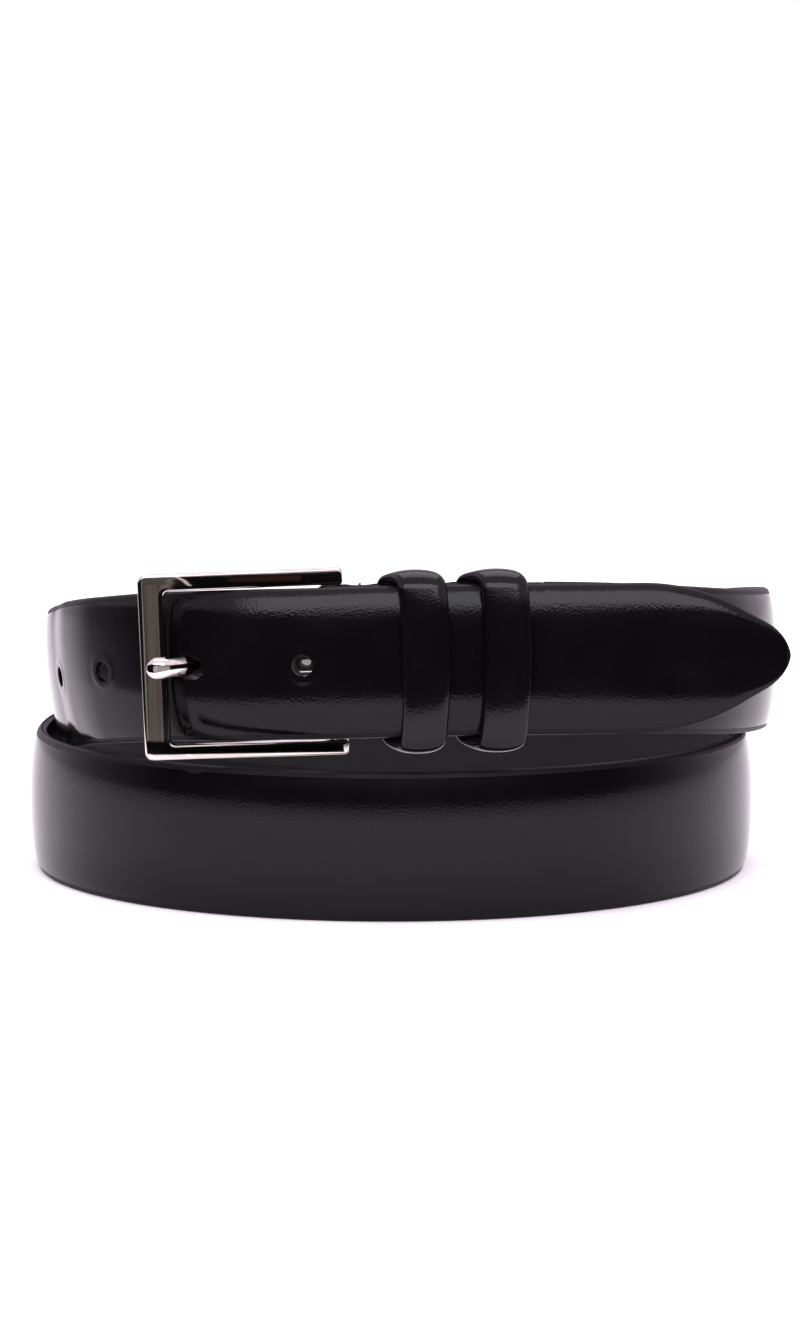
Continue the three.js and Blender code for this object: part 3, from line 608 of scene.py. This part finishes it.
# Lining and padding stop where the end is skived for the fold
lam = section(whole, slice(0, laminated))
lw = w[:laminated]
liningTop = strap["thick"] - strap["liningThick"]
backDepth = np.full((laminated, len(edgeShares)), strap["thick"])
topDepth = np.full((laminated, len(edgeShares)), liningTop - 0.06)
rings, across = strip(lam, lw, topDepth, backDepth, 0.08, 0.4, edgeShares)
verts, faces = loft(rings + shift)
uvs = np.stack([np.broadcast_to(lam["s"][:, None], across.shape), across], axis=-1).reshape(-1, 2) / 10
count = rings.shape[1]
zones = np.full((laminated - 1, count), 0)
zones[:, len(edgeShares) - 1] = 1
zones[:, count - 1] = 1
zones[:, len(edgeShares)] = 1
zones[:, count - 2] = 1
liningStrip = newObject("strapLining", verts, faces, uvs, zones.reshape(-1).tolist() + [0, 0],
                        (lining, edgePaint), sharp=0)
carve(liningStrip, [(v + shift, f) for v, f in holeTools])

rows = (lam["s"] > 9)
pad = section(lam, rows)
padShares = np.linspace(-0.82, 0.82, 25)
padTop = sink(pad["s"][:, None], padShares[None, :], flat[:laminated][rows][:, None])
padTop = padTop + strap["faceThick"] + 0.02
padW = lw[rows]
backX = padShares[::-1][::4][None, :] * padW[:, None]
across = np.concatenate([padShares[None, :] * padW[:, None], backX], axis=1)
depth = np.concatenate([padTop, np.full(backX.shape, liningTop - 0.09)], axis=1)
verts, faces = loft(place(pad, across, depth) + shift)
padding = newObject("strapPadding", verts, faces, None, None, (board,), sharp=30)
carve(padding, [(v + shift, f) for v, f in holeTools])

for piece, node, slotName in ((face, "strap_face", "black_face_leather"),
                              (liningStrip, "strap_lining", "lining_leather"),
                              (padding, "strap_core", "padding")):
    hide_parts(node)
    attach(piece, "strap")
print("strap wound, punched and edged")


# Keepers: each a leather cover turned over a filler, closed at the back by a staple

loopDepth = foldFront + strap["faceThick"] + fold["slip"]
loopHalf = half + keeper["clear"]


# One loop's inner line from the seam at the back round to the seam, as (height, depth, how far forward)
def loopLine():
    r = keeper["corner"]
    top = keeper["front"] + keeper["bow"]
    straight = loopHalf - r
    quarter = [(1 - math.sin(v), 1 - math.cos(v)) for v in np.linspace(0, np.pi / 2, 8)[1:]]
    pts = [(h, loopDepth) for h in np.linspace(0.12, straight, 9)]
    pts += [(loopHalf - r * a, loopDepth - r * b) for a, b in quarter]
    pts += [(loopHalf, d) for d in np.linspace(loopDepth - r, top + r, 6)[1:]]
    pts += [(loopHalf - r * b, top + r * a) for a, b in quarter]
    pts += [(h, keeper["front"] + keeper["bow"] * (h / straight) ** 2.4)
            for h in np.linspace(straight, 0, 22)[1:]]
    upper = np.array(pts)
    lower = upper[:-1][::-1] * [-1, 1]
    return np.concatenate([upper, lower])


# Sections of the cover and the filler, in shares of the width and the thickness: the cover puffs up outside
# and is turned in over both edges
puff = []
for v in np.linspace(np.pi, 0, 29):
    x = 0.5 * np.sign(math.cos(v)) * abs(math.cos(v)) ** 0.95
    y = 0.3 + 0.74 * abs(math.sin(v)) ** 0.8
    puff.append((x, y))
coverSection = np.array([(-0.5, 0.12), (-0.5, 0.28)] + puff + [
    (0.5, 0.28), (0.5, 0.12), (0.485, 0.03), (0.46, 0.0), (0.37, 0.0), (0.36, 0.05), (0.36, 0.5),
    (-0.36, 0.5), (-0.36, 0.05), (-0.37, 0.0), (-0.46, 0.0), (-0.485, 0.03)])
fillerSection = np.array([(-0.345, 0.04), (-0.345, 0.47), (0, 0.47), (0.345, 0.47), (0.345, 0.04), (0, 0.04)])


def loopRings(middle, profile):
    line = loopLine()
    way = unit(np.gradient(line, axis=0))
    outwards = np.stack([-way[:, 1], way[:, 0]], axis=1)
    centre = np.array([0, (loopDepth + keeper["front"]) / 2])
    flip = np.sum(outwards * (line - centre), axis=1) < 0
    outwards[flip] *= -1
    forward = (loopDepth - line[:, 1]) / (loopDepth - keeper["front"])
    thick = keeper["backThick"] + (keeper["thick"] - keeper["backThick"]) * smooth(forward, 0, 0.6)
    s = middle - keeper["lean"] * forward[:, None] + profile[None, :, 0] * keeper["width"]
    rise = profile[None, :, 1] * thick[:, None]
    return warp(s, line[:, 1:] + outwards[:, 1:] * rise, line[:, :1] + outwards[:, :1] * rise)


for i in range(2):
    middle = pivotAt - fold["firstRow"] - (i + 0.5) * fold["rowSpacing"]
    rings = loopRings(middle, coverSection) + shift
    verts, faces = loft(rings)
    lengths = np.concatenate([[0], np.cumsum(np.linalg.norm(np.diff(rings[:, 15], axis=0), axis=1))])
    acrossLoop = np.broadcast_to(coverSection[None, :, 0] * keeper["width"], rings.shape[:2])
    aroundLoop = np.broadcast_to(lengths[:, None], rings.shape[:2])
    uvs = np.stack([acrossLoop, aroundLoop], axis=-1).reshape(-1, 2) / 10 + 3.7 * i
    count = rings.shape[1]
    zones = np.zeros((len(rings) - 1, count), int)
    zones[:, 31:] = 1
    zones[:, :2] = 1
    cover = newObject(f"keeper{i + 1}Cover", verts, faces, uvs, zones.reshape(-1).tolist() + [1, 1],
                      (keeperLeather, edgePaint), sharp=50)
    verts, faces = loft(loopRings(middle, fillerSection) + shift)
    filler = newObject(f"keeper{i + 1}Filler", verts, faces, None, None, (board,), sharp=30)
    legFar = loopDepth + keeper["backThick"] + 1
    legs = [cylinder(warp(middle, loopDepth - 1, h) + shift, warp(middle, legFar, h) + shift,
                     stapleRadius + 0.06, 16) for h in (-2.4, 2.4)]
    carve(cover, legs)
    carve(filler, legs)

    crown = loopDepth + keeper["backThick"] * 1.06 + fold["slip"] + stapleRadius
    wire = bpy.data.curves.new(f"keeper{i + 1}Staple", "CURVE")
    wire.dimensions = "3D"
    wire.bevel_depth = stapleRadius * mm
    wire.bevel_resolution = 6
    wire.use_fill_caps = True
    leg = [(loopDepth - 0.02, 2.4), (crown - 0.4, 2.4), (crown - 0.1, 2.33), (crown, 2.05)]
    corners = [(d, -h) for d, h in leg] + [(crown, 0)] + leg[::-1]
    spline = wire.splines.new("POLY")
    spline.points.add(len(corners) - 1)
    for point, (d, h) in zip(spline.points, corners):
        point.co = (*((warp(middle, d, h) + shift) * mm), 1)
    staple = bpy.data.objects.new(f"keeper{i + 1}Staple", wire)
    bpy.context.collection.objects.link(staple)
    wire.materials.append(stapleSteel)
    for piece, kind, slotName in ((cover, "cover", "black_face_leather"), (filler, "filler", "padding"),
                                  (staple, "staple", "staple_wire")):
        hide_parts(f"keeper_{i + 1}_{kind}")
        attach(piece, "strap")
print("keepers closed and stapled")


# Stitching: one thread a row, through the fold and round both edges

for row, s in enumerate(rowsAt):
    front = foldFront - fold["slip"] - stitch["radius"] + 0.1
    back = rowBack + fold["slip"] + stitch["radius"] - 0.1
    edge = half + 0.05 + stitch["radius"]
    mid = (front + back) / 2
    pts = [(mid, -edge), (front + 0.3, -edge + 0.05), (front, -edge + 0.5)]
    for i, h in enumerate(stitchHeights):
        first, second = (back, front) if i % 2 else (front, back)
        pts += [(first, h - 0.45), (first + (mid - first) * 0.35, h - 0.1), (mid, h),
                (second + (mid - second) * 0.35, h + 0.1), (second, h + 0.45)]
    pts += [(front, edge - 0.5), (front + 0.3, edge - 0.05), (mid, edge)]
    curve = bpy.data.curves.new(f"stitchRow{row + 1}", "CURVE")
    curve.dimensions = "3D"
    curve.bevel_depth = stitch["radius"] * mm
    curve.bevel_resolution = 4
    curve.use_fill_caps = True
    curve.resolution_u = 6
    spline = curve.splines.new("NURBS")
    spline.points.add(len(pts) - 1)
    for point, (d, h) in zip(spline.points, pts):
        point.co = (*((warp(s, d, h) + shift) * mm), 1)
    spline.order_u = 3
    spline.use_endpoint_u = True
    seam = bpy.data.objects.new(f"stitchRow{row + 1}", curve)
    bpy.context.collection.objects.link(seam)
    curve.materials.append(thread)
    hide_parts(f"stitch_row_{row + 1}")
    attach(seam, "strap")
print("fold sewn")


# Buckle: frame, pivot bar and prong, drawn in the frame's own axes from the pivot

buckle = {
    "barToOuter": 38.0, "barToStrap": 2.1, "window": 33.2, "arm": 3.2, "upperArmExtra": 0.4, "taper": 0.2,
    "thick": 3.6, "outerBar": 5.4, "pastBar": 2.6, "bevel": 0.45, "crown": 0.05, "barFit": 0.05, "seat": 2.2,
}
prongSize = {"width": 4.2, "thick": 1.9, "play": 1.3, "eyeWall": 1.15}
joint = next(j for j in frame["record"]["behaviour"]["joints"] if j["name"] == "buckle_pivot")
pivot = np.array(joint["pos_m"]) / mm - shift
barWay = unit(np.array(joint["axis"], float))
outerSeat = warp(pivotAt + buckle["barToOuter"], -(buckle["thick"] / 2 + buckle["barToStrap"]), 0)
alongFrame = outerSeat - pivot
alongFrame = unit(alongFrame - barWay * np.dot(alongFrame, barWay))
forward = np.cross(alongFrame, barWay)
towards = 1 if np.dot(forward, pivotSeat["out"]) > 0 else -1
toFrame = np.stack([alongFrame, barWay, forward])


def fromFrame(points):
    return np.asarray(points) @ toFrame + pivot + shift


def rounded(corners, steps=9):
    pts = []
    for i, (x, y, r) in enumerate(corners):
        here = np.array([x, y])
        back = unit(np.array(corners[i - 1][:2]) - here)
        on = unit(np.array(corners[(i + 1) % len(corners)][:2]) - here)
        a, b = here + back * r, here + on * r
        for v in np.linspace(0, 1, steps):
            pts.append((1 - v) ** 2 * a + 2 * v * (1 - v) * here + v * v * b)
    return np.array(pts)


inner = buckle["window"] / 2
outerEdge = inner + buckle["arm"]
endX = buckle["barToOuter"] + buckle["outerBar"] / 2
windowX = buckle["barToOuter"] - buckle["outerBar"] / 2


# The frame's outline moved a distance into the metal: outer corners tighten, the window's inner corners open
def outlineAt(by):
    outTo, windowTo, taper = outerEdge - by, windowX + by, buckle["taper"]
    above = inner - buckle["upperArmExtra"]
    end, near = endX - by, by - buckle["pastBar"]
    tight = lambda r: max(0.04, r - by)
    upper = [(near, above + by, tight(0.9)), (near, outTo, tight(1.3)), (end, outTo - taper / 2, tight(2.0))]
    lower = [(end, -outTo + taper / 2, tight(2.0)), (near, -outTo, tight(1.3)),
             (near, -inner - by, tight(0.9))]
    window = [(windowTo, -(inner + 0.05 + by), 1.4 + by), (windowTo, above - taper / 2 + by, 1.4 + by)]
    return rounded(upper + lower + window)


# A quarter-round bevel, then a low crown towards the middle of each bar
h = buckle["thick"] / 2
bevel, crown, reach = buckle["bevel"], buckle["crown"], buckle["arm"] / 2 - 0.1
turn = np.linspace(0, np.pi / 2, 7)
front = [(bevel * (1 - math.cos(v)), h - crown - bevel * (1 - math.sin(v))) for v in turn]
for v in np.linspace(0, 1, 8)[1:]:
    front.append((bevel + (reach - bevel) * v, h - crown * (1 - v) ** 2))
levels = front[::-1] + [(x, -z) for x, z in front]
rings = np.stack([np.column_stack([outlineAt(by), np.full(len(outlineAt(by)), z)]) for by, z in levels])
verts, faces = loft(rings)
# The C-shaped caps are cut into triangles
lids = tessellate_polygon([[Vector((x, y, 0)) for x, y, z in rings[0]]])
last = len(verts) - rings.shape[1]
faces = faces[:-2] + [tuple(lid) for lid in lids] + [tuple(last + i for i in lid)[::-1] for lid in lids]
buckleFrame = newObject("buckleFrame", fromFrame(verts), faces, None, None, (nickel,), sharp=0)
seatEnd = np.array([0, inner + buckle["seat"], 0.0])
seatTool = cylinder(-seatEnd, seatEnd, fold["barRadius"] + buckle["barFit"], 48)
carve(buckleFrame, [(fromFrame(seatTool[0]), seatTool[1])])
buckleFrame.data.set_sharp_from_angle(angle=math.radians(35))
# The arms were wiped lengthwise
buckleFrame.data.materials.append(nickelArms)
for polygon in buckleFrame.data.polygons:
    local = toFrame @ (np.array(polygon.center) / mm - shift - pivot)
    polygon.material_index = int(local[0] < windowX - 0.8 and abs(local[1]) > inner - 1)

barRings = []
barHalf = inner + 2.1
for y, r in ((-barHalf, 1.2), (-barHalf + 0.3, 1.5), (barHalf - 0.3, 1.5), (barHalf, 1.2)):
    turn = np.linspace(0, 2 * np.pi, 48, endpoint=False)
    barRings.append(np.stack([np.cos(turn) * r, np.full(48, y), np.sin(turn) * r], axis=1))
verts, faces = loft(np.stack(barRings))
pivotBar = newObject("pivotBar", fromFrame(verts), faces, None, None, (nickel,), sharp=30)

underStrap = strap["thick"] + prongSize["play"] + prongSize["thick"] / 2
under = [toFrame @ (warp(pivotAt + v, underStrap, 0) - pivot) for v in (6, 14, 20, fold["barToHole"] - 5.4)]
inHole = toFrame @ (warp(holeAt, strap["thick"] / 2, 0) - pivot)
lift = (buckle["thick"] / 2 + 0.15 + prongSize["thick"] / 2) * towards
tipX = buckle["barToOuter"] + 1.4
knots = np.array([(2.4, 0.1 * towards)] + [(p[0], p[2]) for p in under] + [(inHole[0], inHole[2]),
                 (windowX + 0.4, lift), (tipX, lift + 0.1 * towards)])


# Points of a smooth curve through knots, evenly spaced
def splineThrough(points, steps):
    ends = np.concatenate([[2 * points[0] - points[1]], points, [2 * points[-1] - points[-2]]])
    fine = []
    for i in range(1, len(ends) - 2):
        p0, p1, p2, p3 = ends[i - 1:i + 3]
        for v in np.linspace(0, 1, 24, endpoint=False):
            fine.append(0.5 * (2 * p1 + (p2 - p0) * v + (2 * p0 - 5 * p1 + 4 * p2 - p3) * v * v
                               + (3 * p1 - p0 - 3 * p2 + p3) * v ** 3))
    fine = np.array(fine + [points[-1]])
    d = np.concatenate([[0], np.cumsum(np.linalg.norm(np.diff(fine, axis=0), axis=1))])
    # the places crowd together over the rounded end
    rounding = 2.4
    lastPlaces = d[-1] - rounding * (1 - np.sin(np.linspace(0, np.pi / 2, 14)[1:]))
    even = np.concatenate([np.linspace(0, d[-1] - rounding, steps), lastPlaces])
    return np.stack([np.interp(even, d, fine[:, k]) for k in range(2)], axis=1), d[-1] - even


centre, left = splineThrough(knots, 90)
way = unit(np.gradient(centre, axis=0))
turn = np.linspace(0, 2 * np.pi, 32, endpoint=False)
boxy = lambda v: np.sign(v) * np.abs(v) ** 0.97
taper = np.sqrt(np.clip(1 - (1 - np.minimum(np.maximum(left, 0.01) / 2.3, 1)) ** 2, 0, 1))
wide = prongSize["width"] / 2 * (0.12 + 0.88 * taper)
deep = prongSize["thick"] / 2 * (0.3 + 0.7 * taper)
x = boxy(np.cos(turn))[None, :] * wide[:, None]
y = boxy(np.sin(turn))[None, :] * deep[:, None]
rings = np.stack([centre[:, :1] - way[:, 1:] * y, x, centre[:, 1:] + way[:, :1] * y], axis=-1)
verts, faces = loft(rings)
prong = newObject("prong", fromFrame(verts), faces, None, None, (prongNickel,), sharp=35)
eyeOut = fold["barRadius"] + buckle["barFit"] + prongSize["eyeWall"]
eyeIn = fold["barRadius"] + buckle["barFit"]
eyeRings = []
for r, y in ((eyeOut - 0.3, -2.1), (eyeOut, -1.8), (eyeOut, 1.8), (eyeOut - 0.3, 2.1),
             (eyeIn + 0.15, 2.1), (eyeIn, 1.95), (eyeIn, -1.95), (eyeIn + 0.15, -2.1)):
    turn = np.linspace(0, 2 * np.pi, 48, endpoint=False)
    eyeRings.append(np.stack([np.cos(turn) * r, np.full(48, y), np.sin(turn) * r], axis=1))
verts, faces = loft(np.stack(eyeRings), endless=True)
eye = newObject("prongEye", fromFrame(verts), faces, None, None, (prongNickel,), sharp=35)
for piece, node, body in ((buckleFrame, "buckle_frame", "frame"), (pivotBar, "buckle_bar", "frame"),
                          (prong, "prong", "prong"), (eye, "prong", "prong")):
    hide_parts(node)
    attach(piece, body)
print("buckle cast and plated")


# Floor, light and camera

studio = {"camera": (-0.488, -801.6, 141.0), "pitch": 6.7, "focal": 3500.0, "floorSize": 6.0}


def flatCard(name, corners, mat):
    mesh = bpy.data.meshes.new(name)
    mesh.from_pydata(corners, [], [(0, 1, 2, 3)])
    mesh.materials.append(mat)
    obj = bpy.data.objects.new(name, mesh)
    bpy.context.collection.objects.link(obj)
    return obj


paper, tree = newMaterial("whitePaperSweep", "#ffffff")
body = addNode(tree, "ShaderNodeBsdfDiffuse", {"Color": (0.985, 0.98, 0.985, 1)})
addNode(tree, "ShaderNodeOutputMaterial", feeds={"Surface": body.outputs["BSDF"]})
f = studio["floorSize"]
flatCard("floor", [(-f, -f, 0), (f, -f, 0), (f, f, 0), (-f, f, 0)], paper)

# A black scrim hung close round the front, seen only in reflections and thinning out towards its ends: it
# keeps the upright part of the leather dark, while the rounded lower half reflects the paper under it
scrimSize = {
    "radius": 0.142, "low": 0.0275, "high": 0.078,
    "solid": 48, "left": -110, "right": 103, "steps": 90,
}
scrim, tree = newMaterial("blackScrim", "#020202")
density = addNode(tree, "ShaderNodeAttribute", attribute_name="weave", attribute_type="GEOMETRY")
cloth = addNode(tree, "ShaderNodeBsdfDiffuse", {"Color": (0.004, 0.004, 0.004, 1)})
gap = addNode(tree, "ShaderNodeBsdfTransparent")
weave = addNode(tree, "ShaderNodeMixShader", feeds={0: density.outputs["Fac"], 1: gap.outputs["BSDF"],
                                                    2: cloth.outputs["BSDF"]})
addNode(tree, "ShaderNodeOutputMaterial", feeds={"Surface": weave.outputs["Shader"]})
turns = np.linspace(scrimSize["left"], scrimSize["right"], scrimSize["steps"])
rim = [(scrimSize["radius"] * math.sin(v), -scrimSize["radius"] * math.cos(v)) for v in np.radians(turns)]
mesh = bpy.data.meshes.new("scrimBand")
mesh.from_pydata([(x, y, z) for x, y in rim for z in (scrimSize["low"], scrimSize["high"])], [],
                 [(2 * i, 2 * i + 2, 2 * i + 3, 2 * i + 1) for i in range(len(rim) - 1)])
mesh.materials.append(scrim)
thin = 1 - np.where(turns < 0, smooth(-turns, scrimSize["solid"], -scrimSize["left"]),
                    smooth(turns, scrimSize["solid"], scrimSize["right"]))
mesh.attributes.new("weave", "FLOAT", "POINT").data.foreach_set("value", np.repeat(thin, 2))
scrimBand = bpy.data.objects.new("scrimBand", mesh)
bpy.context.collection.objects.link(scrimBand)


# A place near the buckle, in mm: across from its outer bar, ahead of its front and up from its middle
buckleLow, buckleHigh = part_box("buckle_frame")


def nearBuckle(across, ahead, up):
    middle = (buckleLow[2] + buckleHigh[2]) / 2
    return buckleLow[0] + across * mm, buckleLow[1] - ahead * mm, middle + up * mm


# A narrow black card close in front of the lower arm keeps its flat face dark
velvet, tree = newMaterial("blackVelvetCard", "#020202")
body = addNode(tree, "ShaderNodeBsdfDiffuse", {"Color": (0.004, 0.004, 0.004, 1)})
addNode(tree, "ShaderNodeOutputMaterial", feeds={"Surface": body.outputs["BSDF"]})
shade = {"left": -1.7, "right": 43.3, "ahead": 6.9, "low": -20.7, "high": -17.5}
shadeCorners = [("left", "low"), ("right", "low"), ("right", "high"), ("left", "high")]
shadePlaces = [nearBuckle(shade[x], shade["ahead"], shade[z]) for x, z in shadeCorners]
armCard = flatCard("armCard", shadePlaces, velvet)
for card in (scrimBand, armCard):
    for way in ("camera", "diffuse", "shadow", "transmission"):
        setattr(card, "visible_" + way, False)

world = bpy.data.worlds.new("studioWhite")
world.use_nodes = True
bpy.context.scene.world = world
back = world.node_tree.nodes["Background"]
back.inputs["Color"].default_value = (1, 0.89, 1.01, 1)
back.inputs["Strength"].default_value = 1.16


def areaLight(name, place, aim, size, power, colour=(1, 1, 1)):
    light = bpy.data.lights.new(name, "AREA")
    light.shape = "RECTANGLE"
    light.size = size[0]
    light.size_y = size[1]
    light.energy = power
    light.color = colour
    obj = bpy.data.objects.new(name, light)
    bpy.context.collection.objects.link(obj)
    obj.location = place
    obj.rotation_euler = (Vector(aim) - Vector(place)).to_track_quat("-Z", "Y").to_euler()
    return obj


# The power that gives a lamp's face a brightness
def powerFor(brightness, size):
    return brightness * math.pi * size[0] * size[1]


areaLight("topSoftbox", (0.0, 0.15, 1.3), (0, 0, 0.03), (1.4, 1.0), 13)
# A long softbox above the lens puts the sheen along the upper shoulder of each strap
frontSize = (1.1, 0.3)
areaLight("frontSoftbox", (0.0, -0.78, 0.37), (0, -0.07, 0.06), frontSize, powerFor(4.2, frontSize))
# and a small tungsten lamp beside it adds one warm glint
lampSize = (0.09, 0.03)
tungsten = (1, 0.5, 0.22)
areaLight("warmLamp", (0.03, -0.72, 0.19), (0, -0.07, 0.066), lampSize, powerFor(1.2, lampSize), tungsten)
# Strip lights that only the plated parts see, for long reflections on the bars: where each is near the
# buckle, its size in m, brightness, colour and roll in degrees
metalOnly = bpy.data.collections.new("platedParts")
for obj in (buckleFrame, pivotBar, prong, eye):
    metalOnly.objects.link(obj)
prongOnly = bpy.data.collections.new("prongParts")
for obj in (prong, eye):
    prongOnly.objects.link(obj)
strips = {
    "stripGrey": ((-3.5, 45.1, -5.6), (0.007, 0.06), 0.13, (1, 0.88, 0.82), 0),
    "stripLeft": ((-10.2, 45.1, -5.6), (0.003, 0.06), 0.4, (1, 0.95, 0.93), 0),
    "stripRight": ((0.3, 45.1, -5.6), (0.0012, 0.055), 0.3, (1, 0.93, 0.9), 0),
    "prongFill": ((25.8, 42.1, -4.1), (0.100, 0.026), 0.42, (1, 0.96, 0.95), 0),
    "glintHigh": ((8.3, 9.1, 17.4), (0.0007, 0.006), 1.2, (1, 0.92, 0.88), 38),
    "glintLow": ((8.3, 9.1, -20.1), (0.0007, 0.006), 1.2, (1, 0.92, 0.88), 38),
    "warmHigh": ((25.8, 9.1, 17.4), (0.016, 0.002), 0.035, (1, 0.35, 0.25), 0),
    "warmLow": ((25.8, 9.1, -20.1), (0.016, 0.002), 0.035, (1, 0.35, 0.25), 0),
}
stripWay = Vector((-0.1, 1, 0.12))
for name, (place, size, brightness, colour, roll) in strips.items():
    spot = Vector(nearBuckle(*place))
    strip = areaLight(name, spot, spot + stripWay, size, powerFor(brightness, size), colour)
    strip.rotation_euler.rotate_axis("Z", math.radians(roll))
    strip.light_linking.receiver_collection = prongOnly if name.startswith("prong") else metalOnly

camera = bpy.data.cameras.new("camera")
camera.lens = studio["focal"] / 1321 * 36
camera.sensor_width = 36
camera.sensor_fit = "AUTO"
camera.clip_start = 0.01
view = bpy.data.objects.new("camera", camera)
bpy.context.collection.objects.link(view)
view.location = [v * mm for v in studio["camera"]]
view.rotation_euler = (math.radians(90 - studio["pitch"]), 0, 0)
bpy.context.scene.camera = view
bpy.context.scene.view_settings.view_transform = "Standard"
print("studio lit")
